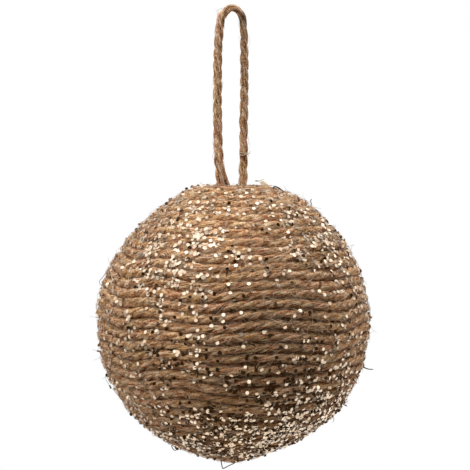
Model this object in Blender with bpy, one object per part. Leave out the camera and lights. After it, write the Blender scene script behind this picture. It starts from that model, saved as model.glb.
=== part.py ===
"""A ball ornament wound with jute cord, and the loop of the same cord that it hangs by.

Metres, +Z up. The origin is where a hook bears, under the crown of the loop.
"""

import bpy
import math
import numpy as np

# Driving dimensions of the ball
BALL_DIAMETER = 0.100       # over the crests of the turns, at the widest
CORD_DIAMETER = 0.0032      # the wound cord and the loop are the same cord
TURN_GAP = 0.00035          # left between one turn and the next
GROOVE_DEPTH = 0.0012       # from the crests of two turns down to the groove between them

# The winding is fuller than a sphere round the flat top, where the first turns lie flat
SHOULDER_RISE = 0.0015      # how far the full shoulder stands outside the sphere
SHOULDER_INNER = 15.0       # degrees from the top where the shoulder is fullest
SHOULDER_OUTER = 42.0       # degrees from the top where it has run out into the sphere
RIM_ROUNDING = 0.0012       # how softly the flat top turns over into the shoulder

# The loop's ends stand on the flat top with a hair's gap
FOOT_GAP = 0.0003

# How finely the solids are faceted
STEPS_PER_TURN = 32
MERIDIAN_SAMPLES = 3000
POINTS_PER_SPAN = 2

# Shares of a turn's width where the round back of the cord starts and ends
BACK_START = 0.24
BACK_END = 0.76

# The loop's centre line from the left end up over the crown and down to the right end.
# X and Y from the hook, Z down from the top of the centre line.
LOOP_ROUTE = [
    (-0.0044, -0.0030, -0.0632),
    (-0.0044, -0.0029, -0.0617),
    (-0.0047, -0.0027, -0.0585),
    (-0.0052, -0.0023, -0.0530),
    (-0.0056, -0.0018, -0.0460),
    (-0.0059, -0.0013, -0.0367),
    (-0.0059, -0.0008, -0.0270),
    (-0.0058, -0.0004, -0.0186),
    (-0.0056, -0.0002, -0.0131),
    (-0.0053, -0.0001, -0.0083),
    (-0.0048, 0.0000, -0.0044),
    (-0.0037, 0.0000, -0.0018),
    (-0.0022, 0.0000, -0.0005),
    (-0.0004, 0.0000, 0.0000),
    (0.0014, 0.0000, -0.0006),
    (0.0027, 0.0000, -0.0022),
    (0.0034, 0.0000, -0.0046),
    (0.0037, 0.0000, -0.0080),
    (0.0038, 0.0001, -0.0131),
    (0.0038, 0.0002, -0.0186),
    (0.0038, 0.0004, -0.0270),
    (0.0037, 0.0006, -0.0367),
    (0.0036, 0.0008, -0.0460),
    (0.0035, 0.0009, -0.0530),
    (0.0034, 0.0010, -0.0585),
    (0.0033, 0.0010, -0.0617),
    (0.0033, 0.0010, -0.0632),
]

# Worked out from the values above
BALL_RADIUS = BALL_DIAMETER / 2
TURN_PITCH = CORD_DIAMETER + TURN_GAP
CROWN_HEIGHT = CORD_DIAMETER / 2
FOOT_Z = CROWN_HEIGHT + LOOP_ROUTE[0][2]
BALL_CENTRE_Z = FOOT_Z - FOOT_GAP - BALL_RADIUS

JUTE_COLOUR = (0.30, 0.19, 0.10, 1.0)
LOOP_COLOUR = (0.27, 0.17, 0.09, 1.0)
JUTE_ROUGHNESS = 0.9


def clear_scene():
    """Remove every object that the file opens with."""
    for item in list(bpy.data.objects):
        bpy.data.objects.remove(item, do_unlink=True)


def make_material(name, colour, roughness):
    """A plain fibre material."""
    material = bpy.data.materials.new(name)
    material.use_nodes = True
    shader = material.node_tree.nodes["Principled BSDF"]
    shader.inputs["Base Color"].default_value = colour
    shader.inputs["Roughness"].default_value = roughness
    shader.inputs["Metallic"].default_value = 0.0
    return material


def soft_minimum(first, second, width):
    """The smaller of two lengths, with the corner where they cross rounded off."""
    mix = np.clip(0.5 + 0.5 * (second - first) / width, 0.0, 1.0)
    return second * (1.0 - mix) + first * mix - width * mix * (1.0 - mix)


def crest_distance(angle):
    """How far the crests lie from the ball's centre, at angles from the top."""
    inner = math.radians(SHOULDER_INNER)
    outer = math.radians(SHOULDER_OUTER)
    share = np.clip((angle - inner) / (outer - inner), 0.0, 1.0)
    fade = 1.0 - share * share * (3.0 - 2.0 * share)
    round_form = BALL_RADIUS + SHOULDER_RISE * fade
    # The flat top is a level plane that cuts the round form
    level = np.where(angle < math.pi / 3, np.cos(angle), 0.5)
    plane = BALL_RADIUS / level
    return soft_minimum(plane, round_form, RIM_ROUNDING)


def meridian():
    """The outline from top to bottom: length along it, radius, height and outward normal."""
    angle = np.linspace(0.0, math.pi, MERIDIAN_SAMPLES)
    distance = crest_distance(angle)
    radius = distance * np.sin(angle)
    height = distance * np.cos(angle)
    radius[-1] = 0.0
    step = np.hypot(np.diff(radius), np.diff(height))
    length = np.concatenate([[0.0], np.cumsum(step)])
    slope_r = np.gradient(radius, length)
    slope_z = np.gradient(height, length)
    size = np.hypot(slope_r, slope_z)
    return length, radius, height, -slope_z / size, slope_r / size


def wound_surface():
    """Vertices and faces of one long turn laid in a spiral from pole to pole.

    The groove line and the two edges of the cord's round back are followed step by
    step. The far side of each turn is the groove line of the next one.
    """
    length, radius, height, normal_r, normal_z = meridian()
    turns = round(length[-1] / TURN_PITCH)
    pitch = length[-1] / turns
    strip_steps = (turns - 1) * STEPS_PER_TURN
    vertices = []
    faces = []

    def follow(share, depth, steps):
        """Add the points at this share of the turn's width, this far under the crests."""
        first = len(vertices)
        for step in range(steps + 1):
            along = pitch * (step / STEPS_PER_TURN + share)
            turn_angle = 2.0 * math.pi * step / STEPS_PER_TURN
            r = np.interp(along, length, radius) - depth * np.interp(along, length, normal_r)
            z = np.interp(along, length, height) - depth * np.interp(along, length, normal_z)
            r = max(float(r), 0.0)
            vertices.append((r * math.cos(turn_angle), r * math.sin(turn_angle), float(z)))
        return first

    groove = follow(0.0, GROOVE_DEPTH, strip_steps + STEPS_PER_TURN)
    upper = follow(BACK_START, 0.0, strip_steps)
    lower = follow(BACK_END, 0.0, strip_steps)

    for step in range(strip_steps):
        a, b = groove + step, upper + step
        c, d = lower + step, groove + step + STEPS_PER_TURN
        faces.append((a, b, b + 1, a + 1))
        faces.append((b, c, c + 1, b + 1))
        faces.append((c, d, d + 1, c + 1))

    # The cut ends of the cord, and the fans that close the two poles
    top = groove
    bottom = groove + strip_steps + STEPS_PER_TURN
    faces.append((top, groove + STEPS_PER_TURN, lower, upper))
    faces.append((groove + strip_steps, upper + strip_steps, lower + strip_steps, bottom))
    for step in range(1, STEPS_PER_TURN):
        faces.append((top, groove + step, groove + step + 1))
        last = groove + strip_steps + step - 1
        faces.append((bottom, last + 1, last))
    return vertices, faces, turns


def make_wound_ball(material):
    """The ball, one closed solid with the turns of the cord standing on it."""
    vertices, faces, turns = wound_surface()
    mesh = bpy.data.meshes.new("wound_ball")
    mesh.from_pydata(vertices, [], faces)
    mesh.validate()
    mesh.materials.append(material)
    mesh.shade_smooth()
    ball = bpy.data.objects.new("wound_ball", mesh)
    ball.location = (0.0, 0.0, BALL_CENTRE_Z)
    bpy.context.scene.collection.objects.link(ball)
    print("wound_ball:", turns, "turns,", len(faces), "faces")
    return ball


def smooth_points(route, per_span):
    """Points read from a smooth curve that runs through the route's own points."""
    points = [np.array(p) for p in route]
    ends = [2 * points[0] - points[1]] + points + [2 * points[-1] - points[-2]]
    read = []
    for i in range(len(points) - 1):
        p0, p1, p2, p3 = ends[i:i + 4]
        for k in range(per_span):
            t = k / per_span
            read.append(0.5 * (2 * p1 + (p2 - p0) * t + (2 * p0 - 5 * p1 + 4 * p2 - p3) * t * t
                               + (3 * p1 - p0 - 3 * p2 + p3) * t ** 3))
    read.append(points[-1])
    return read


def make_hanging_loop(material):
    """The loop, a plain tube along the cord's route."""
    points = smooth_points(LOOP_ROUTE, POINTS_PER_SPAN)
    curve = bpy.data.curves.new("hanging_loop", "CURVE")
    curve.dimensions = "3D"
    curve.bevel_depth = CORD_DIAMETER / 2
    curve.bevel_resolution = 2
    curve.use_fill_caps = True
    spline = curve.splines.new("POLY")
    spline.points.add(len(points) - 1)
    for slot, (x, y, z) in zip(spline.points, points):
        slot.co = (x, y, z + CROWN_HEIGHT, 1.0)
    curve.materials.append(material)
    loop = bpy.data.objects.new("hanging_loop", curve)
    bpy.context.scene.collection.objects.link(loop)
    length = sum(float(np.linalg.norm(b - a)) for a, b in zip(points, points[1:]))
    print("hanging_loop:", len(points), "points,", round(length * 1000, 1), "mm long")
    return loop


def main():
    clear_scene()
    make_wound_ball(make_material("wound_jute", JUTE_COLOUR, JUTE_ROUGHNESS))
    make_hanging_loop(make_material("loop_jute", LOOP_COLOUR, JUTE_ROUGHNESS))


main()
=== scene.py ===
# %% [markdown]
# # A glitter ball wound with jute cord
# The real ornament is one long jute cord, wound round and round a ball and glued down.
# Coarse glitter is sprinkled on the wet glue, and a loop of the same cord hangs it up.
# This file dresses the plain solids of the ball and the loop with real cord, fibres and flakes.
# First it loads those solids, which fix every size and place. All lengths are in metres.

# %% The frame that everything is placed by
import math
from functools import partial

import bpy
import numpy as np
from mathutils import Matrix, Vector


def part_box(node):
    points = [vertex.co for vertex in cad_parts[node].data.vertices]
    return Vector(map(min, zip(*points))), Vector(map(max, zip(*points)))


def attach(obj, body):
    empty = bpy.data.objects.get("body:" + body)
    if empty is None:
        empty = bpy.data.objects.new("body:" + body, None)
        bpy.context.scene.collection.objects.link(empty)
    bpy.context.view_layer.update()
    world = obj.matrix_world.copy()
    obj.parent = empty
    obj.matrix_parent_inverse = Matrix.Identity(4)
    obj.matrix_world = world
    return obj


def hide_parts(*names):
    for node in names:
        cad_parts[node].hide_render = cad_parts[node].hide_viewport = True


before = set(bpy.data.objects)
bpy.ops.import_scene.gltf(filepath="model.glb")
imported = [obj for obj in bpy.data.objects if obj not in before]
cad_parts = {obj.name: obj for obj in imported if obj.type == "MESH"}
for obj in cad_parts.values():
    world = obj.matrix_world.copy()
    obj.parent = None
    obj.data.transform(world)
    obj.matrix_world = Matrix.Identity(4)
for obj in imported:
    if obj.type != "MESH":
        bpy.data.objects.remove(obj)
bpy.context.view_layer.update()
scene = bpy.context.scene

MM = 0.001
ball_low, ball_high = (np.array(corner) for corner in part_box("wound_ball"))
BALL_RADIUS = float(ball_high[0] - ball_low[0]) / 2
BALL_CENTRE = np.array([0.0, 0.0, float(ball_high[2]) - BALL_RADIUS])
print("ball radius", round(BALL_RADIUS / MM, 2), "mm, centre height", round(BALL_CENTRE[2] / MM, 2), "mm")

# %% [markdown]
# ## The camera
# The picture was taken level with the flat top of the ball, which shows edge-on, and tipped
# down a little. The turns curve like a smile below that level, and how much they curve gives the
# distance, from which the lens follows.

# %% Camera
PICTURE_WIDTH = 470
FOCAL_PIXELS = 1069.0
SENSOR_WIDTH = 36.0
CAMERA_DISTANCE = 7.8 * BALL_RADIUS
CAMERA_SIDE = 0.44 * MM
CAMERA_TIP = math.radians(2.73)


def new_object(name, data):
    """An object at the origin, in the scene."""
    thing = bpy.data.objects.new(name, data)
    scene.collection.objects.link(thing)
    return thing


camera_data = bpy.data.cameras.new("camera")
camera_data.sensor_width = SENSOR_WIDTH
camera_data.lens = SENSOR_WIDTH * FOCAL_PIXELS / PICTURE_WIDTH
camera = new_object("camera", camera_data)
camera.location = (CAMERA_SIDE, -CAMERA_DISTANCE, BALL_CENTRE[2] + BALL_RADIUS)
camera.rotation_euler = (math.pi / 2 - CAMERA_TIP, 0.0, 0.0)
scene.camera = camera
print("lens", round(camera_data.lens, 1), "mm at", round(CAMERA_DISTANCE / MM), "mm")

# %% [markdown]
# ## Small helpers
# Node trees are built in code here, so one helper adds a node with its settings and links, and the
# kinds of node that come up most have short names. Another turns hex colours into the linear
# values that shaders expect. Most small pieces are each of one tone between a dark and a pale one.

# %% Nodes and materials
MATH = "ShaderNodeMath"
VECTOR_MATH = "ShaderNodeVectorMath"
MAP_RANGE = "ShaderNodeMapRange"
NOISE = "ShaderNodeTexNoise"
STORE = "GeometryNodeStoreNamedAttribute"
RANDOM = "FunctionNodeRandomValue"
ATTRIBUTE = "GeometryNodeInputNamedAttribute"
VECTOR = "FLOAT_VECTOR"


def feed(node, inputs):
    """Set a node's inputs, by name or in order, or link them to other nodes."""
    for key, value in inputs.items() if isinstance(inputs, dict) else enumerate(inputs):
        if isinstance(value, bpy.types.Node):
            value = value.outputs[0]
        if isinstance(value, bpy.types.NodeSocket):
            node.id_data.links.new(value, node.inputs[key])
        else:
            node.inputs[key].default_value = value
    return node


def add_node(tree, kind, inputs=(), operation=None, **settings):
    """Add a node with its inputs, its operation and its other settings."""
    node = tree.nodes.new(kind)
    if operation:
        node.operation = operation
    for name, value in settings.items():
        setattr(node, name, value)
    return feed(node, inputs)


def linear(hex_colour):
    """A linear colour with alpha from an sRGB hex value."""
    channels = [int(hex_colour[i:i + 2], 16) / 255 for i in (1, 3, 5)]
    return [c / 12.92 if c <= 0.04045 else ((c + 0.055) / 1.055) ** 2.4 for c in channels] + [1.0]


def new_material(name):
    """A material, what adds nodes to it, and its shader."""
    material = bpy.data.materials.new(name)
    material.use_nodes = True
    tree = material.node_tree
    return material, partial(add_node, tree), tree.nodes["Principled BSDF"]


def two_tone(name, dark, pale, finish, speck_scale=None):
    """A material between two tones, by the tint of each small piece or else by specks."""
    material, add, shader = new_material(name)
    if speck_scale:
        place = add("ShaderNodeTexCoord").outputs["Object"]
        share = add(NOISE, {"Vector": place, "Scale": speck_scale, "Detail": 3.0})
    else:
        share = add("ShaderNodeAttribute", attribute_name="tint").outputs["Fac"]
    tones = add("ShaderNodeValToRGB", [share])
    for stop, colour in zip(tones.color_ramp.elements, (dark, pale)):
        stop.color = linear(colour)
    feed(shader, {"Base Color": tones, **finish})
    return material


# %% [markdown]
# What repeats or follows a path is grown by Geometry Nodes. One helper starts a tree with named
# inputs, one ends it, and another runs it and keeps the result as a plain mesh. A modifier's inputs
# are set by their identifiers, before the object is first evaluated.

# %% Geometry Nodes trees


def new_tree(name, whole, real):
    """Start a tree that is given a mesh, whole numbers, real ones and a material."""
    tree = bpy.data.node_groups.new(name, "GeometryNodeTree")
    tree.interface.new_socket("Geometry", in_out="OUTPUT", socket_type="NodeSocketGeometry")
    kinds = {"Geometry": ["Geometry"], "Int": whole, "Float": real, "Material": ["Material"]}
    for kind, labels in kinds.items():
        for label in labels:
            tree.interface.new_socket(label, in_out="INPUT", socket_type="NodeSocket" + kind)
    add = partial(add_node, tree)
    return add, add("NodeGroupInput").outputs


def hand_out(add, geometry, given, smooth=True):
    """End a tree: what it has made goes out as a plain mesh in its material."""
    if smooth:
        geometry = add("GeometryNodeSetShadeSmooth", [geometry])
    real = add("GeometryNodeRealizeInstances", [geometry])
    painted = add("GeometryNodeSetMaterial", {"Geometry": real, "Material": given["Material"]})
    return add("NodeGroupOutput", [painted]).id_data


def thread(add, line, sides, radius, scale):
    """A ring swept along each line."""
    ring = add("GeometryNodeCurvePrimitiveCircle", {"Resolution": sides, "Radius": radius})
    return add("GeometryNodeCurveToMesh",
               {"Curve": line, "Profile Curve": ring, "Scale": scale, "Fill Caps": True})


def grown(name, base, tree, material, sizes):
    """Run a tree on a mesh and keep what it grows as a plain mesh object."""
    thing = new_object(name, base)
    modifier = thing.modifiers.new("grow", "NODES")
    modifier.node_group = tree
    chosen = {**sizes, "Material": material}
    for socket in tree.interface.items_tree:
        if socket.in_out == "INPUT" and socket.name in chosen:
            modifier[socket.identifier] = chosen[socket.name]
    graph = bpy.context.evaluated_depsgraph_get()
    made = bpy.data.meshes.new_from_object(thing.evaluated_get(graph), depsgraph=graph)
    thing.modifiers.clear()
    thing.data = made
    made.name = name
    print(name, "-", sum(len(p.vertices) - 2 for p in made.polygons), "triangles")
    return thing


# %% [markdown]
# ## Lines in space
# Cords and their fibres follow lines of points. These functions measure such a line, read a smooth
# curve through a few points, space points evenly and make slow random change.

# %% Line functions


def unit(vectors):
    """Vectors brought to length one."""
    return vectors / np.linalg.norm(vectors, axis=-1, keepdims=True)


def along_path(points):
    """The length along a path up to each of its points."""
    return np.concatenate([[0.0], np.cumsum(np.linalg.norm(np.diff(points, axis=0), axis=1))])


def evenly(values, along, spacing):
    """Values given at lengths along a path, read again at even spacing."""
    even = np.linspace(0.0, along[-1], int(along[-1] / spacing) + 1)
    return np.stack([np.interp(even, along, column) for column in values.T], 1)


def smooth_curve(route, per_span=6):
    """Points read from a smooth curve that runs through the route's own points."""
    points = np.array(route)
    ends = np.concatenate([[2 * points[0] - points[1]], points, [2 * points[-1] - points[-2]]])
    t = np.arange(per_span)[:, None] / per_span
    spans = [0.5 * (2 * b + (c - a) * t + (2 * a - 5 * b + 4 * c - d) * t * t
                    + (3 * b - a - 3 * c + d) * t ** 3)
             for a, b, c, d in zip(ends, ends[1:], ends[2:], ends[3:])]
    return np.concatenate([*spans, points[-1:]])


def smooth_noise(along, spacing, seed):
    """A smooth random line between -1 and 1, with a new value after every spacing."""
    count = int(along[-1] / spacing) + 3
    values = np.random.default_rng(seed).uniform(-1.0, 1.0, count)
    place = along / spacing
    knot = np.floor(place).astype(int)
    t = place - knot
    t = t * t * (3.0 - 2.0 * t)
    return values[knot] * (1.0 - t) + values[knot + 1] * t


# %% [markdown]
# The mesh of such a line has no faces. It hands the trees what they need at each point: the
# directions outward, sideways and ahead, the length so far, and how many turns the cord's twist
# has made. The twist isn't even, as no machine-laid cord's is.

# %% Line mesh
LAY = 15.0 * MM        # length of cord in which a strand goes once round
FIBRE_TWIST = -0.15    # turns of a strand's own fibres in that length, beside the strand's
TWIST_DRIFT = 0.13     # turns by which the twist runs ahead or behind
DRIFT_SPACING = 21 * MM


def new_mesh(name, points, edges=(), faces=()):
    """A mesh of points and what joins them."""
    mesh = bpy.data.meshes.new(name)
    mesh.from_pydata(np.asarray(points).tolist(), edges, faces)
    return mesh


def mark(mesh, **layers):
    """Store numbers or vectors on the vertices of a mesh."""
    for name, values in layers.items():
        values = np.asarray(values)
        kind, field = (VECTOR, "vector") if values.ndim == 2 else ("FLOAT", "value")
        layer = mesh.attributes.get(name) or mesh.attributes.new(name, kind, "POINT")
        layer.data.foreach_set(field, values.ravel())


def path_mesh(points, outward, seed, girth=1.0, soak=0.0):
    """A line of vertices with its directions, the cord's twist, how stout it is, and its painted shade and
    painted light.
    """
    along = along_path(points)
    tangent = unit(np.gradient(points, along, axis=0))
    side = unit(np.cross(tangent, outward))
    mesh = new_mesh("path", points, [(i, i + 1) for i in range(len(points) - 1)])
    mark(mesh, outward=np.cross(side, tangent), side=side, heading=tangent, centre=points, along=along,
         laid=along / LAY + TWIST_DRIFT * smooth_noise(along, DRIFT_SPACING, seed),
         girth=np.full(len(points), girth), soak=np.full(len(points), soak))
    return mesh


# %% [markdown]
# ## Twisting strands into cord
# Jute cord is three strands of hair-like fibre, laid round each other. Each strand is a tube that
# follows a helix round the cord's centre line. The tree copies the line once for each strand, moves
# each copy out along a turning direction, and sweeps a ring along it. The ring carries its own
# coordinates, so the fibres drawn by the material follow the strand without a seam. Seen on an
# upright cord, the strands run down to the right, so the helix is left-handed.

# %% Strand tree
STRAND_SHIFT = 0.37    # metres by which each strand reads the fibre pattern further on


def build_strand_tree():
    """The tree that lays strands round a path."""
    add, given = new_tree("Strands twisted round a path",
                          ["First strand", "Strands laid", "Strands in cord", "Sides"],
                          ["Offset", "Strand radius", "Flattening", "Unevenness", "Fibre twist"])
    along, laid, strand = (add(ATTRIBUTE, [name]) for name in ("along", "laid", "strand"))
    line = add("GeometryNodeMeshToCurve", [given["Geometry"]])
    copies = add("GeometryNodeDuplicateElements",
                 {"Geometry": line, "Amount": given["Strands laid"]}, domain="SPLINE")
    number = add(MATH, [copies.outputs["Duplicate Index"], given["First strand"]])
    stored = add(STORE, {"Geometry": copies, "Name": "strand", "Value": number})

    # Each strand stands off the centre line in a direction that turns as the cord is laid
    share = add(MATH, [strand, given["Strands in cord"]], "DIVIDE")
    turn = add(MATH, [share, laid], "SUBTRACT")
    angle = add(MATH, [turn, math.tau], "MULTIPLY")
    cosine, sine = (add(MATH, [angle], wave) for wave in ("COSINE", "SINE"))
    wide = add(MATH, [sine, given["Flattening"]], "MULTIPLY")
    outward, side, ring_at = (add(ATTRIBUTE, [name], data_type=VECTOR)
                              for name in ("outward", "side", "ring"))
    parts = [add(VECTOR_MATH, {0: way, "Scale": size}, "SCALE")
             for way, size in ((outward, cosine), (side, wide))]
    both = add(VECTOR_MATH, parts)
    offset = add(VECTOR_MATH, {0: both, "Scale": given["Offset"]}, "SCALE")
    moved = add("GeometryNodeSetPosition", {"Geometry": stored, "Offset": offset})

    # Strands swell and thin along their length
    line_place = add("ShaderNodeCombineXYZ", [along, strand])
    swell = add(NOISE, {"Vector": line_place, "Scale": 150.0, "Detail": 2.0})
    swing = add(MAP_RANGE, [swell, 0.3, 0.7, -1.0, 1.0])
    scale = add(MATH, [swing, given["Unevenness"], add(ATTRIBUTE, ["girth"])], "MULTIPLY_ADD")
    ring = add("GeometryNodeCurvePrimitiveCircle",
               {"Resolution": given["Sides"], "Radius": given["Strand radius"]})
    marked = add(STORE, {"Geometry": ring, "Name": "ring",
                         "Value": add("GeometryNodeInputPosition")}, data_type=VECTOR)
    swept = add("GeometryNodeCurveToMesh",
                {"Curve": moved, "Profile Curve": marked, "Scale": scale, "Fill Caps": True})

    # The fibre coordinates in millimetres: across the strand in X and Y, along it in Z
    twist = add(MATH, [laid, given["Fibre twist"]], "MULTIPLY")
    twist_angle = add(MATH, [twist, math.tau], "MULTIPLY")
    turned = add("ShaderNodeVectorRotate", {"Vector": ring_at, "Angle": twist_angle},
                 rotation_type="Z_AXIS")
    apart = add(MATH, [strand, STRAND_SHIFT, along], "MULTIPLY_ADD")
    lift = add("ShaderNodeCombineXYZ", {"Z": apart})
    grain = add(VECTOR_MATH, [turned, lift])
    in_mm = add(VECTOR_MATH, {0: grain, "Scale": 1.0 / MM}, "SCALE")
    kept = add(STORE, {"Geometry": swept, "Name": "grain", "Value": in_mm}, data_type=VECTOR)
    return hand_out(add, kept, given)


strand_tree = build_strand_tree()
ONE_TUBE = {"First strand": 0, "Strands laid": 1, "Strands in cord": 1, "Offset": 0.0, "Flattening": 1.0,
            "Unevenness": 0.0, "Fibre twist": FIBRE_TWIST}

# %% [markdown]
# ## Jute
# Jute is a bast fibre: hairy bundles of straw to brown, twisted while they are still uneven. The
# material reads the fibre coordinates that the strands carry. A cell pattern, drawn out along the
# strand, makes single fibre bundles, each of one tone. Real ones are about 0.1 mm wide; these are
# 0.4 mm, so that they show. A noise, drawn out less, gathers them into paler and darker locks, and a
# slow one shifts the colour every few centimetres, as plant fibre does.

# %% Jute material
# Patterns per millimetre: across, across and along
FIBRE_SCALE = (2.8, 2.8, 0.46)
LOCK_SCALE = (1.2, 1.2, 0.34)
SHIFT_SCALE = (0.3, 0.3, 0.11)
SPECK_SCALE = (2.4, 2.4, 1.9)
# How far a fibre's own tone, its lock and fine specks count in the tone, and what is taken off
OWN_PART, LOCK_PART, SPECK_PART, TAKEN_OFF = 0.36, 0.8, 0.8, 0.475
TONE_PLACES = (0.22, 0.4, 0.56, 0.78)
HUES = (0.488, 0.513)
VALUES = (0.86, 1.12)


def jute_material(name, tones):
    """Twisted natural fibre in tones from dark to pale."""
    material, add, shader = new_material(name)
    grain = add("ShaderNodeAttribute", attribute_name="grain").outputs["Vector"]
    at_fibre, at_lock, at_shift, at_speck = (
        add(VECTOR_MATH, [grain, scale], "MULTIPLY")
        for scale in (FIBRE_SCALE, LOCK_SCALE, SHIFT_SCALE, SPECK_SCALE))
    wave = add(NOISE, {"Vector": at_lock, "Scale": 0.8, "Detail": 1.0}).outputs["Color"]
    bent = add(VECTOR_MATH, [wave, (0.9, 0.9, 0.0), at_fibre], "MULTIPLY_ADD")
    fibre = add("ShaderNodeTexVoronoi", {"Vector": bent, "Scale": 1.0})
    own_tone = add("ShaderNodeSeparateColor", [fibre.outputs["Color"]])
    lock = add(NOISE, {"Vector": at_lock, "Scale": 1.0, "Detail": 3.0, "Roughness": 0.6})
    shift = add(NOISE, {"Vector": at_shift, "Scale": 1.0, "Detail": 2.0})
    speck = add(NOISE, {"Vector": at_speck, "Scale": 1.0, "Detail": 1.0})
    tone = -TAKEN_OFF
    for pattern, part in ((own_tone, OWN_PART), (lock, LOCK_PART), (speck, SPECK_PART)):
        tone = add(MATH, [pattern, part, tone], "MULTIPLY_ADD")
    ramp = add("ShaderNodeValToRGB", [tone])
    stops = ramp.color_ramp.elements
    for place, colour in zip(TONE_PLACES, tones):
        stops.new(place).color = linear(colour)
    stops.remove(stops[0])
    stops.remove(stops[-1])
    hue = add(MAP_RANGE, [shift, 0.3, 0.7, *HUES])
    value = add(MAP_RANGE, [shift.outputs["Color"], 0.3, 0.7, *VALUES])
    # Painted shade and painted light carried by the mesh: darker where positive, paler where negative
    soak = add("ShaderNodeAttribute", attribute_name="soak").outputs["Fac"]
    kept_light = add(MATH, [1.0, soak], "SUBTRACT")
    value = add(MATH, [value, kept_light], "MULTIPLY")
    shifted = add("ShaderNodeHueSaturation", {"Color": ramp, "Hue": hue, "Value": value})
    relief = add(MATH, [fibre.outputs["Distance"], -0.5, lock], "MULTIPLY_ADD")
    bump = add("ShaderNodeBump", {"Height": relief, "Strength": 0.55, "Distance": 0.4 * MM})
    feed(shader, {"Base Color": shifted, "Normal": bump, "Roughness": 0.75, "Specular IOR Level": 0.12})
    return material


wound_jute = jute_material("natural jute cord, glued", ("#5c381b", "#a87449", "#c69c72", "#dcc7ab"))
# The loop's tones are paler than the winding's: partly its own greyer brown, partly painted light for the
# light that wraps round the thin loop
loop_jute = jute_material("natural jute cord, hanging loop", ("#5a3a21", "#9c724e", "#c89f79", "#efd5b8"))

# %% [markdown]
# ## The hanging loop
# The loop is a free cord, so its route comes point by point from the solid: up from the left foot,
# over the crown and down to the right one. A smooth curve is read through them, and the tree lays
# three strands round it. Its ends go on a little way into the winding.

# %% Loop
CORD_WIDTH = 3.2 * MM
CORD_RADIUS = CORD_WIDTH / 2
STRANDS = 3
LOOP_STRAND = 0.55 * CORD_RADIUS
FOOT_DEPTH = 1.8 * MM
LOOP_SPACING = 0.8 * MM
# In millimetres; the centre line runs one cord radius higher
LOOP_ROUTE = [
    (-4.8, -3, -63.2), (-4.9, -2.9, -61.7), (-5.1, -2.7, -58.5), (-5.5, -2.3, -53), (-5.7, -1.8, -46),
    (-5.9, -1.3, -36.7), (-5.9, -0.8, -27), (-5.8, -0.4, -18.6), (-5.6, -0.2, -13.1), (-5.3, -0.1, -8.3),
    (-4.8, 0, -4.4), (-3.7, 0, -1.8), (-2.2, 0, -0.5), (-0.4, 0, 0), (1.4, 0, -0.6),
    (2.6, 0, -2.2), (3.2, 0, -4.6), (3.6, 0, -8), (3.8, 0.1, -13.1), (3.8, 0.2, -18.6),
    (3.8, 0.4, -27), (3.7, 0.6, -36.7), (3.6, 0.8, -46), (3.5, 0.9, -53), (3.4, 1, -58.5),
    (3.3, 1, -61.7), (3.3, 1, -63.2),
]
# How stout and how dark the loop is at shares of its length: the left leg is stouter, the left
# shoulder, towards the light, is painted paler as light and the right one painted darker as shade
LOOP_GIRTH = [(0, 1.16), (0.4, 1.06), (0.46, 0.94), (0.5, 0.84), (0.53, 0.88), (0.6, 0.94), (0.8, 1)]
LOOP_PAINTED_SHADING = [(0.42, 0), (0.475, -0.16), (0.5, -0.08), (0.525, 0.05), (0.537, 0.6), (0.555, 0.55),
             (0.575, 0.15), (0.65, 0.05)]


def loop_line():
    """The loop's centre line, from inside the winding at the left foot to the same at the right."""
    route = np.array(LOOP_ROUTE) * MM + [0.0, 0.0, CORD_RADIUS]
    deeper = [0.0, 0.0, FOOT_DEPTH]
    curve = smooth_curve([route[0] - deeper, *route, route[-1] - deeper], per_span=12)
    return evenly(curve, along_path(curve), LOOP_SPACING)


loop_points = loop_line()
loop_along = along_path(loop_points)
LOOP_LENGTH = float(loop_along[-1])
facing = np.tile([0.0, -1.0, 0.0], (len(loop_points), 1))
loop_girth, loop_soak = (np.interp(loop_along / LOOP_LENGTH, *zip(*table))
                         for table in (LOOP_GIRTH, LOOP_PAINTED_SHADING))
loop_girth += 0.1 * smooth_noise(loop_along, 4 * MM, 41)
loop_mesh = path_mesh(loop_points, facing, 44, loop_girth, loop_soak)
hanging_cord = grown("hanging_cord", loop_mesh, strand_tree, loop_jute, {
    **ONE_TUBE, "Strands laid": STRANDS, "Strands in cord": STRANDS, "Offset": CORD_RADIUS - LOOP_STRAND,
    "Strand radius": LOOP_STRAND, "Unevenness": 0.22, "Sides": 12})
print("loop", round(LOOP_LENGTH / MM, 1), "mm long")

# One strand of the left foot is splayed to the right and pressed into the winding: x and z in mm
FOOT_STRAND = [(-1.5, -64.4), (-2.1, -62.4), (-3, -60), (-3.8, -57.6), (-4.4, -55.2), (-5, -52.6)]
FOOT_Y = -3.6
foot_points = smooth_curve([(x, FOOT_Y, z) for x, z in FOOT_STRAND]) * MM
# The strand is painted darker towards its end pressed into the winding: painted shade
foot_soak = np.linspace(0.34, 0.0, len(foot_points))
foot_line = path_mesh(foot_points, facing[:len(foot_points)], 8, soak=foot_soak)
splayed_strand = grown("splayed_strand", foot_line, strand_tree, loop_jute, {
    **ONE_TUBE, "Strand radius": 0.85 * MM, "Unevenness": 0.2, "Sides": 12})

# %% [markdown]
# ## The outline of the ball
# The cord is laid from the middle of the flat top outwards, over the shoulder and down to the
# bottom, in turns that touch. A helix of constant rise would crowd the poles, so the ball's outline
# is measured first, and each turn is laid one pitch further along it.

# %% Outline
TURN_GAP = 0.35 * MM
SHOULDER_RISE = 1.5 * MM
SHOULDER_INNER = math.radians(15.0)
SHOULDER_OUTER = math.radians(42.0)
RIM_ROUNDING = 1.2 * MM


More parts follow.
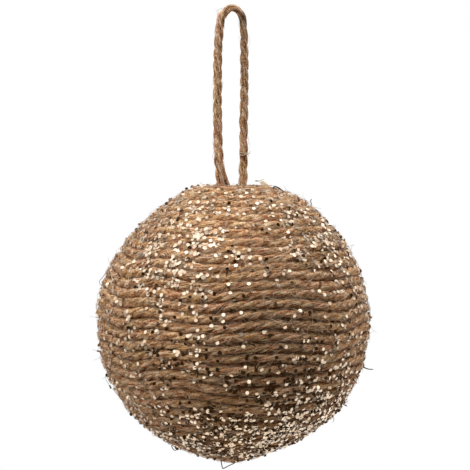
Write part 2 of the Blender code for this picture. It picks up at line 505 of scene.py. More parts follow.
def ball_outline(samples=3000):
    """The outline over the crests from top to bottom, as the solid has it."""
    angle = np.linspace(0.0, math.pi, samples)
    share = np.clip((angle - SHOULDER_INNER) / (SHOULDER_OUTER - SHOULDER_INNER), 0.0, 1.0)
    round_form = BALL_RADIUS + SHOULDER_RISE * (1.0 - share * share * (3.0 - 2.0 * share))
    plane = BALL_RADIUS / np.where(angle < math.pi / 3, np.cos(angle), 0.5)
    mix = np.clip(0.5 + 0.5 * (round_form - plane) / RIM_ROUNDING, 0.0, 1.0)
    distance = round_form * (1.0 - mix) + plane * mix - RIM_ROUNDING * mix * (1.0 - mix)
    radius, height = distance * np.sin(angle), distance * np.cos(angle)
    length = along_path(np.stack([radius, height], 1))
    slope_r, slope_z = np.gradient(radius, length), np.gradient(height, length)
    size = np.hypot(slope_r, slope_z)
    return length, radius, height, -slope_z / size, slope_r / size


# %% [markdown]
# ## The path of the winding
# No hand winds perfectly. Each turn wanders a little, and the whole ball is a little fuller or
# flatter in places than a true one, which a few soft swells describe. The same kind of soft patches
# says later on where the glitter fell.

# %% Winding path
# Longitude (0 faces the viewer, positive to the right), latitude, spread in degrees, height in mm
SWELLS = [
    (-72, 44, 15, -1.1), (72, 52, 13, 0.7), (60, -62, 20, -0.9), (-10, -86, 9, 2.5), (0, 90, 24, -0.5),
    (90, 44, 9, -0.5), (-90, -50, 14, 0.5), (90, -48, 14, 0.4), (-83, 74, 6, 0.5), (83, 59, 5, 0.7),
    (83, 40, 3.5, 0.5), (-83, -40, 3.5, 0.5), (-83, 12, 4, 0.4), (83, -41, 3.5, 0.5), (-83, -3, 3.5, -0.4),
    (83, 15, 8, -0.3), (83, -12, 6, -0.4), (-83, 36, 5, -0.4), (-60, -78, 9, -0.35), (60, -80, 6, -0.4),
]
SWAY = 0.85 * MM
FIRST_TURN, LAST_TURN = -0.35, -0.65


def direction_of(longitude, latitude):
    """The direction from the ball's centre to a place on it."""
    turn, lift = math.radians(longitude), math.radians(latitude)
    return np.array([math.cos(lift) * math.sin(turn), -math.cos(lift) * math.cos(turn), math.sin(lift)])


def patches(directions, places):
    """The sum of soft round patches, each with a place, a spread and a strength."""
    total = np.zeros(len(directions))
    for longitude, latitude, spread, strength in places:
        away = np.degrees(np.arccos(np.clip(directions @ direction_of(longitude, latitude), -1.0, 1.0)))
        total += strength * np.exp(-0.5 * (away / spread) ** 2)
    return total


def sway(ways, seed, waves=9):
    """A smooth random field over the ball, about -1 to 1."""
    chance = np.random.default_rng(seed)
    total = np.zeros(len(ways))
    for _ in range(waves):
        pull = chance.normal(size=3)
        pull *= chance.uniform(6.0, 14.0) / np.linalg.norm(pull)
        total += np.sin(ways @ pull + chance.uniform(0.0, math.tau))
    return total / math.sqrt(waves)


def winding_path(depth, shift, spacing, wander, seed):
    """Centre line of the wound cord, evenly spaced, with the direction away from the ball."""
    length, radius, height, normal_r, normal_z = ball_outline()
    turns = round(length[-1] / (CORD_WIDTH + TURN_GAP))
    turn = np.linspace(FIRST_TURN, turns + LAST_TURN, turns * 400)
    circle = np.stack([np.cos(math.tau * turn), np.sin(math.tau * turn)])
    across = length[-1] / turns * (turn + shift)
    rough = np.stack([*(np.interp(across, length, radius) * circle), np.interp(across, length, height)], 1)
    along = along_path(rough)
    across = across + SWAY * sway(unit(rough), 3)
    aside = smooth_noise(along, 17 * MM, seed) + 0.6 * smooth_noise(along, 7 * MM, seed + 2)
    across = across + wander * aside
    inward = depth + wander * 0.8 * smooth_noise(along, 11 * MM, seed + 1)
    r, z, out_r, out_z = (np.interp(across, length, line) for line in (radius, height, normal_r, normal_z))
    points = np.stack([*((r - inward * out_r) * circle), z - inward * out_z], 1)
    outward = np.stack([*(out_r * circle), out_z], 1)
    points = points + (patches(unit(points), SWELLS) * MM)[:, None] * outward + BALL_CENTRE
    along = along_path(points)
    return evenly(points, along, spacing), evenly(outward, along, spacing)


# %% [markdown]
# ## Laying the winding
# Each strand is one piece from the top to the bottom, since the whole cord would be too many
# triangles for one. The pull of the winding has pressed the cord a little flat. Under it lies an
# earlier layer of the same cord, a plain tube that shows dark between the turns and is painted darker
# as shade. Soft patches of painted shade darken the cord in places, and patches of painted light make it
# paler.

# %% Winding
POINTS_PER_LAY = 14
WANDER = 0.3 * MM
SINK = 0.35 * MM
STRAND_RADIUS = 0.62 * CORD_RADIUS
STRAND_OFFSET = CORD_RADIUS - STRAND_RADIUS
UNDER_DEPTH = CORD_RADIUS + 1.9 * MM
# How much darker the under layer is painted, as shade between the turns
UNDER_PAINTED_SHADE = 0.22
# Longitude, latitude, spread in degrees, and how much stouter, or how much darker (painted shade; negative
# is paler, painted light)
STOUTER = [(-60, 45, 30, 0.16), (-88, 20, 28, 0.16), (-42, 0, 26, 0.12), (60, 50, 25, 0.12),
           (4, -14, 15, -0.08), (14, 9, 11, -0.08)]
PAINTED_SHADE_AND_LIGHT = [(-62, 52, 16, 0.2), (10, -14, 17, 0.2), (16, 6, 13, 0.18), (20, -38, 13, -0.1),
          (-14, 46, 19, -0.34), (-24, 4, 14, -0.12), (-58, -8, 15, 0.12), (-20, -53, 9, 0.12),
          (8, -54, 9, 0.08)]

cord_points, cord_outward = winding_path(CORD_RADIUS + SINK, 0.5, LAY / POINTS_PER_LAY, WANDER, seed=11)
cord_along = along_path(cord_points)
print("wound cord", round(cord_along[-1], 2), "m long,", len(cord_points), "points")

cord_girth = 1.0 + 0.1 * smooth_noise(cord_along, 27 * MM, 61)
cord_girth += 0.06 * smooth_noise(cord_along, 6 * MM, 62)
cord_way = unit(cord_points - BALL_CENTRE)
cord_girth += patches(cord_way, STOUTER)
# Painted shade and painted light on the cord's colour, in soft patches
cord_soak = patches(cord_way, PAINTED_SHADE_AND_LIGHT)
winding = []
for number in range(STRANDS):
    line = path_mesh(cord_points, cord_outward, 12, cord_girth, cord_soak)
    winding.append(grown("wound_strand_%d" % (number + 1), line, strand_tree, wound_jute, {
        **ONE_TUBE, "First strand": number, "Strands in cord": STRANDS, "Offset": STRAND_OFFSET,
        "Strand radius": STRAND_RADIUS, "Flattening": 1.05, "Unevenness": 0.18, "Sides": 8}))

under_points, under_outward = winding_path(UNDER_DEPTH, 1.0, 5 * MM, wander=0.0, seed=5)
# Painted shade on the under layer, plus the same patches of painted shade and light
under_soak = UNDER_PAINTED_SHADE + patches(unit(under_points - BALL_CENTRE), PAINTED_SHADE_AND_LIGHT)
under_line = path_mesh(under_points, under_outward, 13, soak=under_soak)
winding.append(grown("wound_under_layer", under_line, strand_tree, wound_jute, {
    **ONE_TUBE, "Strand radius": CORD_RADIUS, "Unevenness": 0.04, "Sides": 6}))

# %% [markdown]
# ## Where the glitter fell
# The flakes fell thickest where the ball was turned under the shaker, and hardly at all on the
# middle of the front. A few pours, each with a place, a spread and a strength, make that
# unevenness, and a noise breaks it into small drifts.

# %% Pours
# Longitude, latitude, spread in degrees, strength; the narrow ones are drifts of flakes side by side
POURS = [
    (-38, 32, 15, 0.65), (-14, 50, 12, 0.3), (50, 41, 13, 0.75), (33, 54, 9, 0.4), (66, 30, 12, 0.5),
    (44, 12, 13, 0.25), (-55, 38, 9, 0.3), (-25, 9, 12, 0.38), (0, -10, 17, 0.32), (36, -43, 17, 2.1),
    (-5, -38, 13, 1.15), (47, -32, 16, 1.3), (30, -16, 12, 0.45), (24, -57, 15, 1.4), (-34, -20, 18, 0.75),
    (-50, -47, 9, 1.5), (-28, -55, 8, 1.3), (125, 10, 35, 0.6), (-135, 20, 30, 0.7), (175, -25, 30, 0.7),
    (-118, -20, 22, 0.5), (95, -35, 22, 0.6), (160, 50, 25, 0.6), (90, 40, 20, 0.5), (-122, 45, 22, 0.6),
    (0, 85, 16, 0.2), (-170, -65, 25, 0.6), (-55, 53, 7, 0.8),
    (-39, 27, 4.5, 1.5), (-34, 22, 3.5, 1.2), (-28, 25, 3.5, 1.1), (-17, 34, 4.5, 1.2), (-16, 45, 3, 0.9),
    (-8, 46, 3, 0.9), (3, 34, 3, 0.8), (15, 27, 3.5, 1.1), (-49, 43, 3, 1.6), (-40, 44, 3, 1.6),
    (49, 37, 3.5, 1.6), (36, 48, 3, 1.5), (32, 32, 3, 1.2), (-12, 16, 3, 1.2),
    (32, -42, 5, 2), (29, -47, 3.5, 2), (42, -31, 4, 1.6), (34, -20, 3.5, 1.6), (-2, -37, 3.5, 1.6),
    (7, -10, 3, 0.7), (-10, -11, 2.5, 0.6), (2, -18, 3, 0.7), (-20, 24, 3, 1.4),
]
SPRINKLED_EVERYWHERE = 0.12
# Where the jute is hairier, and where fewer hairs stand off it
FUZZY = [(-72, 30, 28, 0.7), (50, 36, 34, 0.8), (-50, -40, 25, 0.4), (4, 36, 25, 1.3), (30, -4, 18, 0.5)]
SMOOTHER = [(-78, 34, 34, -0.55), (80, 34, 34, -0.3)]
LYING_EVERYWHERE, STANDING_EVERYWHERE = 0.62, 0.7

# %% [markdown]
# ## Scattering
# Flakes and loose fibres are scattered alike: on a plain tube laid where the cord's own surface is,
# on its outer side only, as thickly as numbers on the tube say. The tube is thrown away later.

# %% Scattering
ABOVE_CORD = 0.18 * MM


def scattered(add, given, crowding):
    """Points at random on the outer side of a cord, and their numbers."""
    centre, outward = (add(ATTRIBUTE, [name], data_type=VECTOR) for name in ("centre", "outward"))
    off_centre = add(VECTOR_MATH, [add("GeometryNodeInputPosition"), centre], "SUBTRACT")
    lift = add(VECTOR_MATH, [off_centre, outward], "DOT_PRODUCT")
    outside = add("FunctionNodeCompare", [lift.outputs["Value"], given["Least lift"]], "GREATER_THAN")
    density = add(MATH, [crowding, given["Density"]], "MULTIPLY")
    spots = add("GeometryNodeDistributePointsOnFaces",
                {"Mesh": given["Geometry"], "Selection": outside, "Density": density,
                 "Seed": given["Seed"]})
    return spots, add("GeometryNodeInputIndex")


def tinted(add, spots, thing, rotation, size, number, seed):
    """A thing at each point, with a tint of its own."""
    laid = add("GeometryNodeInstanceOnPoints",
               {"Points": spots, "Instance": thing, "Rotation": rotation, "Scale": size})
    tint = add(RANDOM, {"ID": number, "Seed": seed}).outputs[1]
    return add(STORE, {"Geometry": laid, "Name": "tint", "Value": tint}, domain="INSTANCE")


reach = (STRAND_OFFSET + STRAND_RADIUS * cord_girth) / CORD_RADIUS
carrier = grown("carrier", path_mesh(cord_points, cord_outward, 1, reach), strand_tree, wound_jute, {
    **ONE_TUBE, "Strand radius": CORD_RADIUS + ABOVE_CORD, "Sides": 14})
places = np.empty(len(carrier.data.vertices) * 3)
carrier.data.vertices.foreach_get("co", places)
ways = unit(places.reshape(-1, 3) - BALL_CENTRE)
mark(carrier.data, sprinkled=SPRINKLED_EVERYWHERE + patches(ways, POURS),
     fuzz=LYING_EVERYWHERE + patches(ways, FUZZY))

# %% [markdown]
# ## Flakes
# Coarse glitter is polyester film with a thin layer of aluminium under a pale gold lacquer, cut
# into hexagons about 1.4 mm across. Flakes are small mirrors: white where they face the light,
# nearly black where they face a dark room. So the colour is a metal's, and the roughness low. They
# lie across the strands, glued flat or a little tipped, and a few stand on edge in the grooves.

# %% Scattered flakes
FLAKE_WIDTH = 1.4 * MM
FLAKE_THICKNESS = 0.05 * MM
glitter = two_tone("metallised polyester film, champagne", "#b5a18b", "#d3c2ad",
                   {"Metallic": 1.0, "Roughness": 0.12})


def build_flake_tree():
    """The tree that scatters flakes."""
    add, given = new_tree("Flakes scattered on a cord", ["Seed"],
                          ["Density", "Flake width", "Thickness", "Least lift"])
    place = add("GeometryNodeInputPosition")
    drift = add(NOISE, {"Vector": place, "Scale": 190.0, "Detail": 1.0})
    drifted = add(MAP_RANGE, [drift, 0.38, 0.62, 0.25, 1.9])
    crowding = add(MATH, [add(ATTRIBUTE, ["sprinkled"]), drifted], "MULTIPLY")
    spots, number = scattered(add, given, crowding)

    # Most flakes are tipped a little, and a high power of a random share tips a few a lot
    share = add(RANDOM, {"ID": number, "Seed": 3}).outputs[1]
    power = add(MATH, [share, 3.0], "POWER")
    most = add(MATH, [power, 1.1, 0.24], "MULTIPLY_ADD")
    tip_amount = add("ShaderNodeCombineXYZ", [most, most, 1.0])
    way = add(RANDOM, {"Min": (-1.0, -1.0, -3.2), "Max": (1.0, 1.0, 3.2), "ID": number, "Seed": 4},
              data_type=VECTOR)
    tip = add(VECTOR_MATH, [way, tip_amount], "MULTIPLY")
    outward = add(ATTRIBUTE, ["outward"], data_type=VECTOR)
    out_pull = add(VECTOR_MATH, [outward, (1.3, 1.3, 1.3), spots.outputs["Normal"]], "MULTIPLY_ADD")
    facing_out = add("FunctionNodeAlignRotationToVector", {"Vector": out_pull}, axis="Z")
    turned = add("FunctionNodeRotateRotation", [facing_out, tip], rotation_space="LOCAL")
    size = add(RANDOM, {2: 0.86, 3: 1.08, "ID": number, "Seed": 5}).outputs[1]
    half = add(MATH, [given["Flake width"], 0.5], "MULTIPLY")
    plate = add("GeometryNodeMeshCylinder", {"Vertices": 6, "Radius": half, "Depth": given["Thickness"]})
    return hand_out(add, tinted(add, spots, plate, turned, size, number, 6), given, smooth=False)


glitter_flakes = grown("glitter_flakes", carrier.data, build_flake_tree(), glitter, {
    "Density": 2.0e5, "Flake width": FLAKE_WIDTH, "Thickness": FLAKE_THICKNESS,
    "Least lift": 0.6 * CORD_RADIUS, "Seed": 2})
print("flakes", len(glitter_flakes.data.vertices) // 12)

# %% [markdown]
# A few flakes catch the eye: three in a row beside the middle, a short upright chain to its left,
# dark ones on the front and some on edge at the rim of the top. Each is dropped onto the cord
# straight towards the ball's centre, so that it lies on what is there.

# %% Flakes in chosen places
# Longitude, latitude, then how far the flake is tipped up and turned right, in degrees
CHOSEN_FLAKES = [
    (-14, -4, 26, -14), (-14, -6, 26, -14), (-14, -9.2, 28, -14),
    (-29.5, 16, 8, 0), (-29.3, 14, 10, 0), (-29.5, 12, 10, 0), (-29.2, 10, 12, 0), (-28.6, 8.2, 12, 0),
    (-9, 18, 0, -6), (-4, 7, 24, -12), (12, 3, 26, -12), (20, -3, 28, -12), (-6, -1, 26, -16),
    (24, -9, 30, -16), (28, -8.5, 30, -16), (6, -16, 34, -20), (36, 2, 8, 20), (30, -16, 36, -16),
    (7, -10, -6, 0), (8.5, -11.5, -5, 2), (-10, -11, -6, 4), (2, -18, -4, 0), (3.5, -18.5, -4, 3),
    (-1, 11, -14, 0), (4, 7, -10, 0), (8, 11, -14, 4), (-17, -29, -4, 6),
]
# Dark flakes on edge at the outline: angle clockwise from the top, and millimetres they stand out
RIM_FLAKES = [
    (-17.4, 0.6), (-19.8, 0.4), (-21.6, 0.2), (-30, 0.1), (-47, 0.1), (-113.3, 0.7), (-123, 0),
    (-132.3, 0.3), (-137.6, 0), (-152, 0.1), (-156.2, 0.3), (-165, 0), (24, 0), (37, 0.2), (50, 0.1),
    (72, 0), (87, 0.2), (99, -0.1), (104, 0), (106.5, 0), (114, -0.1), (126.5, 0.1), (129, 0),
    (130.6, 0.2), (132, 0.1), (150, 0), (163, 0), (167, 0.2), (174, 0), (178, 0.2),
]
RAY_START = 1.4 * BALL_RADIUS
RAYS_APART = 0.35 * FLAKE_WIDTH
LIFT_WHEN_TIPPED = 0.25 * FLAKE_WIDTH
RIM_YAW = 0.4
RIM_DOWN = np.array([0.0, 0.0, -0.25])
UP = np.array([0.0, 0.0, 1.0])


def hexagon_plate(centre, normal):
    """The corners of a flat hexagonal plate."""
    first = unit(np.cross(normal, UP))
    second = np.cross(normal, first)
    turns = np.arange(6) * math.pi / 3
    rim = [(first * math.cos(a) + second * math.sin(a)) * FLAKE_WIDTH / 2 for a in turns]
    return [centre + corner + normal * side * FLAKE_THICKNESS / 2 for side in (-1, 1) for corner in rim]


def reach_under(way, surfaces, graph):
    """How far out the cord reaches under a flake, by rays at its middle and around it."""
    across = unit(np.cross(way, UP))
    upward = np.cross(across, way)
    reaches = []
    for a, b in ((0, 0), (1, 0), (-1, 0), (0, 1), (0, -1)):
        start = BALL_CENTRE + way * RAY_START + (across * a + upward * b) * RAYS_APART
        for surface in surfaces:
            hit, place, *_ = surface.ray_cast(start.tolist(), (-way).tolist(), depsgraph=graph)
            if hit:
                reaches.append(float((np.array(place) - BALL_CENTRE) @ way))
    return max(reaches)


def chosen_flake(lon, lat, up, right):
    """The place, the normal and the height over the cord of one flake."""
    way, normal = direction_of(lon, lat), direction_of(lon + right, lat + up)
    lean = math.sqrt(max(0.0, 1.0 - float(way @ normal) ** 2))
    return way, normal, FLAKE_THICKNESS + LIFT_WHEN_TIPPED * lean


def rim_flake(angle, stand_out, yaw):
    """The same for a flake on the outline that the camera sees."""
    toward = np.array(camera.location) - BALL_CENTRE
    lean = BALL_RADIUS / np.linalg.norm(toward)
    toward = unit(toward)
    right = unit(np.cross(UP, toward))
    turn = math.radians(angle)
    aside = right * math.sin(turn) + np.cross(toward, right) * math.cos(turn)
    normal = unit(toward + right * yaw + RIM_DOWN)
    return aside * math.sqrt(1.0 - lean ** 2) + toward * lean, normal, stand_out * MM


def placed_flakes(name, surfaces):
    """One mesh of single flakes, each resting on what is there."""
    graph = bpy.context.evaluated_depsgraph_get()
    spots = [chosen_flake(*spot) for spot in CHOSEN_FLAKES]
    spots += [rim_flake(*spot, (-1) ** i * RIM_YAW) for i, spot in enumerate(RIM_FLAKES)]
    points, faces = [], []
    for way, normal, height in spots:
        centre = BALL_CENTRE + way * (reach_under(way, surfaces, graph) + height)
        low = range(len(points), len(points) + 6)
        points += hexagon_plate(centre, normal)
        faces += [list(reversed(low)), [i + 6 for i in low]]
        faces += [[i, low[k - 5], low[k - 5] + 6, i + 6] for k, i in enumerate(low)]
    mesh = new_mesh(name, points, faces=faces)
    mesh.materials.append(glitter)
    mark(mesh, tint=np.repeat(np.random.default_rng(8).uniform(0.3, 1.0, len(spots)), 12))
    return new_object(name, mesh)


chosen_flakes = placed_flakes("chosen_flakes", winding)

# %% [markdown]
# ## Loose fibres
# Jute is hairy. Most loose ends are glued down and lie along the turns and across the grooves; a
# few stand off. The tree starts a short line at random points, mostly along the cord, bends each
# one by a noise that grows towards its tip, and sweeps a three-sided thread along it. Single fibres
# look paler than the cord, as light passes through them.

# %% Fibre tree


def build_fibre_tree():
    """The tree that grows loose fibres."""
    add, given = new_tree("Loose fibres on a cord", ["Points", "Seed"],
                          ["Density", "Length", "Radius", "Least lift", "Rise", "Stray",
                           "Held down", "Curl"])
    spots, number = scattered(add, given, add(ATTRIBUTE, ["fuzz"]))
    normal = spots.outputs["Normal"]

    # A fibre starts along the cord either way, a little outwards, and a little at random
    coin = add(RANDOM, {4: 0, 5: 1, "ID": number, "Seed": 11}, data_type="INT").outputs[2]
    way = add(MATH, [coin, 2.0, -1.0], "MULTIPLY_ADD")
    heading, outward = (add(ATTRIBUTE, [name], data_type=VECTOR) for name in ("heading", "outward"))
    ahead = add(VECTOR_MATH, {0: heading, "Scale": way}, "SCALE")
    rise = add(VECTOR_MATH, {0: normal, "Scale": given["Rise"]}, "SCALE")
    anyway = add(RANDOM, {"Min": (-1.0, -1.0, -1.0), "Max": (1.0, 1.0, 1.0), "ID": number, "Seed": 12},
                 data_type=VECTOR)
    upright = add(VECTOR_MATH, [anyway, normal], "PROJECT")
    level = add(VECTOR_MATH, [anyway, upright], "SUBTRACT")
    away = add(VECTOR_MATH, [level, outward], "PROJECT")
    taken = add(VECTOR_MATH, {0: away, "Scale": given["Held down"]}, "SCALE")
    level = add(VECTOR_MATH, [level, taken], "SUBTRACT")
    stray = add(VECTOR_MATH, {0: level, "Scale": given["Stray"]}, "SCALE")
    start = add(VECTOR_MATH, [add(VECTOR_MATH, [ahead, rise]), stray])
    turned = add("FunctionNodeAlignRotationToVector", {"Vector": start}, axis="Z")
    share = add(RANDOM, {2: 0.45, 3: 1.0, "ID": number, "Seed": 13}).outputs[1]
    size = add(MATH, [share, 1.6], "POWER")
    tip_end = add("ShaderNodeCombineXYZ", {"Z": given["Length"]})
    straight = add("GeometryNodeCurvePrimitiveLine", {"End": tip_end})
    line = add("GeometryNodeResampleCurve", {"Curve": straight, "Count": given["Points"]})
    lines = add("GeometryNodeRealizeInstances", [tinted(add, spots, line, turned, size, number, 14)])

    # The bend grows towards the tip
    so_far = add("GeometryNodeSplineParameter")
    place = add("GeometryNodeInputPosition")
    wave = add(NOISE, {"Vector": place, "Scale": 240.0, "Detail": 0.0})
    centred = add(VECTOR_MATH, [wave.outputs["Color"], (0.5, 0.5, 0.5)], "SUBTRACT")
    grow = add(MATH, [so_far, 1.3], "POWER")
    bend = add(MATH, [grow, given["Length"]], "MULTIPLY")
    bend = add(MATH, [bend, given["Curl"]], "MULTIPLY")
    push = add(VECTOR_MATH, {0: centred, "Scale": bend}, "SCALE")
    bent = add("GeometryNodeSetPosition", {"Geometry": lines, "Offset": push})
    taper = add(MAP_RANGE, {"Value": so_far, "To Min": 1.0, "To Max": 0.4})
    return hand_out(add, thread(add, bent, 3, given["Radius"], taper), given)


# %% Fibres on the winding and the loop
fibre_tree = build_fibre_tree()
loose_fibre = two_tone("loose jute fibre", "#6e4c30", "#dcc2a0", {"Roughness": 0.5})
FIBRE_SIZES = ("Density", "Length", "Radius", "Least lift", "Rise", "Stray", "Held down", "Curl",
               "Points", "Seed")
LYING, STANDING, ON_LOOP = (dict(zip(FIBRE_SIZES, sizes)) for sizes in (
    (1.9e5, 5.5 * MM, 0.1 * MM, 0.1 * CORD_RADIUS, -0.02, 1.05, 0.6, 0.3, 4, 21),
    (0.25e4, 1.8 * MM, 0.04 * MM, 0.3 * CORD_RADIUS, 0.3, 0.6, 0.0, 1.0, 7, 23),
    (9.0e4, 4.0 * MM, 0.05 * MM, -CORD_WIDTH, 0.12, 0.3, 0.0, 0.8, 6, 22)))
lying_fibres = grown("lying_fibres", carrier.data, fibre_tree, loose_fibre, LYING)
mark(carrier.data, fuzz=STANDING_EVERYWHERE + patches(ways, SMOOTHER))
standing_fibres = grown("standing_fibres", carrier.data, fibre_tree, loose_fibre, STANDING)

loop_carrier = grown("loop_carrier", path_mesh(loop_points, facing, 1), strand_tree, wound_jute, {
    **ONE_TUBE, "Strand radius": CORD_RADIUS, "Sides": 10})
mark(loop_carrier.data, fuzz=np.ones(len(loop_carrier.data.vertices)))
loop_fibres = grown("loop_fibres", loop_carrier.data, fibre_tree, loose_fibre, ON_LOOP)
for tube in (carrier, loop_carrier):
    bpy.data.objects.remove(tube, do_unlink=True)

# %% [markdown]
# ## Stray ends
# A strand of the loop's left foot is splayed, a frayed tuft of pale jute sticks up beside the right
# foot, and thin stiff threads leave the winding at the bottom and at both sides and bend back to
# it. Each is a short line of chosen points.

# %% Stray ends
# Girth in millimetres, tone from dark to pale, depth y, then x and z of each point in millimetres
JUTE_ENDS = [
    (0.5, 0.0, -2.8, [(-1.1, -63.8), (-1.9, -61.8), (-3, -59.2), (-3.9, -57)]),
    (0.22, 0.6, -4.3, [(-3.2, -63.4), (-3.7, -60.8), (-4.6, -57.8), (-5.6, -54.2)]),
    (0.16, 0.55, -1, [(1.9, -50.7), (3.3, -50.6), (4.9, -51), (6, -50.8)]),
    (0.16, 0.65, -1, [(2.2, -51.3), (3.4, -51.5), (4.6, -51), (5.6, -51.9)]),
    (0.18, 0.0, -0.8, [(2.3, -51.9), (3.4, -51.9), (4.6, -51.6)]),
    (0.14, 0.45, 0.2, [(4.6, -51.4), (5.6, -50.6), (6, -49.8)]),
    (0.08, 0.5, -1.8, [(-6.6, -48.6), (-7.3, -50.3), (-7.9, -52.8)]),
    (0.5, 1.0, -4.2, [(12.6, -64.2), (12, -62.8), (10.8, -61.8), (9.5, -60.9)]),
    (0.48, 0.95, -4, [(11.8, -64.2), (11.2, -62.8), (10.3, -61.8), (9.5, -61)]),
    (0.44, 1.0, -4.6, [(13.6, -64.4), (12.8, -62.8), (11.5, -61.6), (10.2, -60.7)]),
    (0.4, 0.85, -4.4, [(11, -64.2), (10.6, -62.8), (10, -61.8), (9.5, -61.2)]),
    (0.2, 0.75, -4.3, [(8.8, -60.9), (9.6, -60.6), (10.9, -60.2)]),
    (0.26, 0.0, -4.3, [(7.8, -60.8), (8.4, -60.8), (9, -60.8)]),
]
STIFF_THREADS = [
    (0.24, 0.2, -3, [(-4.6, -160.6), (-4.7, -162.6), (-4.4, -164.6), (-3.9, -165.9), (-1.8, -164.9),
                     (0.3, -163.9), (1, -162.8), (1.2, -160.8)]),
    (0.3, 0, 0, [(45, -129), (47.4, -129.1), (49.4, -129.8), (51.2, -129.9)]),
    (0.3, 0, 0, [(45.8, -126.6), (47.1, -127.2), (47.8, -128.3), (47.5, -129.1), (46.4, -129.2)]),
    (0.15, 0.4, 0, [(-45, -92.4), (-46.6, -94.2), (-48.2, -96.2), (-49.2, -97.6), (-48.6, -98.8),
                    (-46.6, -99.4)]),
    (0.34, 0, 0, [(-50.2, -123.1), (-49.6, -123.2), (-49, -123.4), (-48, -123.6), (-46, -123.8)]),
    (0.08, 0.8, 0, [(-49, -123.4), (-50.4, -123), (-52, -122.6)]),
    (0.14, 0.2, 0, [(34.6, -145.6), (36, -147), (36.9, -148.4), (36.4, -149.6)]),
    (0.26, 0.1, 0, [(41.6, -143.5), (41, -143.2), (40, -142.8), (38, -142)]),
    (0.2, 0.3, 0, [(28.3, -67.4), (28, -68.2), (28.3, -69.2), (27.8, -70.6), (26.8, -72)]),
    (0.2, 0.1, -7, [(-22.4, -155.4), (-22.4, -157), (-21.4, -158.2), (-20.4, -157.6), (-20.2, -156.2)]),
    (0.34, 0, -7, [(13.8, -64.2), (14.5, -62.9), (15.9, -63.2), (17.4, -64.3), (18.2, -65.6),
                   (19.6, -66.2)]),
    (0.4, 0.1, 0, [(-45.2, -137), (-45.4, -136.4), (-45.8, -135.8)]),
    (0.09, 0.6, 0, [(-45.6, -136.2), (-46.1, -135.2), (-47, -133.5), (-47, -131.5), (-45.6, -130.4)]),
]
TIP_GIRTH = 0.55


def build_thread_tree():
    """The tree that sweeps a thread along each line of a mesh."""
    add, given = new_tree("Threads along lines", [], ["Radius"])
    line = add("GeometryNodeMeshToCurve", [given["Geometry"]])
    return hand_out(add, thread(add, line, 6, given["Radius"], add(ATTRIBUTE, ["girth"])), given)


def thread_mesh(threads):
    """All the lines in one mesh, with how stout each is and its tone."""
    points, edges, girth, tint = [], [], [], []
    for thick, tone, depth, route in threads:
        line = smooth_curve([(x, depth, z) for x, z in route]) * MM
        edges += [(len(points) + i, len(points) + i + 1) for i in range(len(line) - 1)]
        points += list(line)
        girth += list(thick * np.linspace(1.0, TIP_GIRTH, len(line)))
        tint += [tone] * len(line)
    mesh = new_mesh("lines", points, edges)
    mark(mesh, girth=girth, tint=tint)
    return mesh


thread_tree = build_thread_tree()
stiff_fibre = two_tone("stiff grey-brown fibre", "#4a3c32", "#9a8c7c", {"Roughness": 0.5})
frayed_fibre = two_tone("frayed jute end", "#5e4630", "#f6ead6", {"Roughness": 0.5})
jute_ends = grown("jute_ends", thread_mesh(JUTE_ENDS), thread_tree, frayed_fibre, {"Radius": MM})
stiff_threads = grown("stiff_threads", thread_mesh(STIFF_THREADS), thread_tree, stiff_fibre,
                      {"Radius": MM})

# %% [markdown]
# ## Light and surroundings
# The picture is a product shot on pure white. Large soft boxes stand above and to the left, the
# white sweep behind the ball lights its lower right edge, and the camera's side is dark, which is
# why flakes that face it go black. All of them are soft round patches of the world's colour, so the
# flakes mirror them as they would real boxes. Only the camera sees plain white.

# %% World
scene.view_settings.view_transform = "Standard"
scene.view_settings.look = "None"
ROOM_LIGHT = (0.043, 0.026, 0.012)
WHITE, WARM = "#ffffff", "#ffe8d2"
# Azimuth (0 is the camera's side, positive right), height, half width, soft edge, strength, colour
SOFT_BOXES = [
    (-48, 55, 49, 8, 1.82, WHITE), (40, 66, 22, 5, 1.2, WHITE), (101, 42, 31, 5, 1.34, WHITE),
    (-135, 38, 26, 12, 0.3, WARM), (180, 20, 62, 12, 0.96, WHITE), (112, -47, 33, 4, 1.38, WHITE),
    (-99, -8, 20, 4, 1.04, WHITE), (88, 6, 20, 10, 0.3, WARM), (-97, -36, 20, 8, 0.42, WARM),
    (-130, -54, 22, 4, 1.12, WHITE),
]


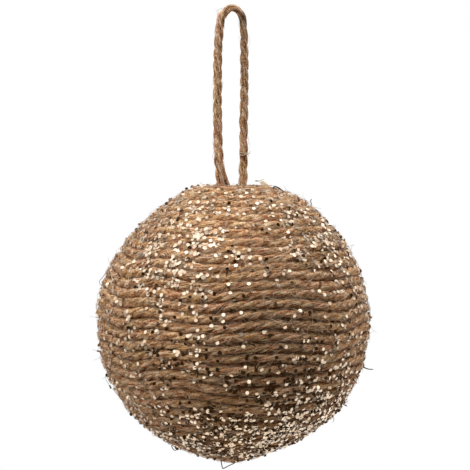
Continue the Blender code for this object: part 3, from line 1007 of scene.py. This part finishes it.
def studio_world():
    """Soft boxes in a dim room, and plain white where the camera looks past the ball."""
    world = bpy.data.worlds.new("studio")
    world.use_nodes = True
    add = partial(add_node, world.node_tree)
    direction = add("ShaderNodeTexCoord").outputs["Generated"]
    total = add("ShaderNodeCombineXYZ", ROOM_LIGHT)
    for azimuth, height, half_width, edge, strength, colour in SOFT_BOXES:
        toward = add(VECTOR_MATH, [direction, direction_of(azimuth, height)], "DOT_PRODUCT")
        outer, inner = (math.cos(math.radians(half_width + side * edge)) for side in (1, -1))
        inside = add(MAP_RANGE, {"Value": toward.outputs["Value"], "From Min": outer, "From Max": inner,
                                 "To Max": strength}, interpolation_type="SMOOTHSTEP")
        total = add(VECTOR_MATH, [inside, linear(colour)[:3], total], "MULTIPLY_ADD")
    seen = add("ShaderNodeLightPath").outputs["Is Camera Ray"]
    mixed = add("ShaderNodeMix", {0: seen, 6: total, 7: linear(WHITE)}, data_type="RGBA")
    feed(world.node_tree.nodes["Background"], {"Color": mixed.outputs[2]})
    return world


scene.world = studio_world()

# %% [markdown]
# A pale floor lies well below the hanging ball, out of the picture, and throws some light back.

# %% Floor
FLOOR_RADIUS = 0.15
FLOOR_DROP = 0.28
FLOOR_SIDES = 96


def round_floor(height):
    """A flat round disc of matt white card, with a faint unevenness."""
    turns = [math.tau * i / FLOOR_SIDES for i in range(FLOOR_SIDES)]
    rim = [(FLOOR_RADIUS * math.cos(a), FLOOR_RADIUS * math.sin(a), height) for a in turns]
    mesh = new_mesh("floor", rim, faces=[list(range(FLOOR_SIDES))])
    mesh.materials.append(two_tone("matt white card", "#eee8de", "#f6f1e9", {"Roughness": 0.9}, 60.0))
    return new_object("floor", mesh)


round_floor(float(BALL_CENTRE[2]) - BALL_RADIUS - FLOOR_DROP)

# %% [markdown]
# ## What each piece stands for
# Every piece rides on the one body and takes the place of its plain solid, which is hidden.

# %% Pieces and solids
for piece in winding + [glitter_flakes, chosen_flakes, lying_fibres, standing_fibres, jute_ends,
                        stiff_threads]:
    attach(piece, "root")
    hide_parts("wound_ball")
for piece in (hanging_cord, splayed_strand, loop_fibres):
    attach(piece, "root")
    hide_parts("hanging_loop")
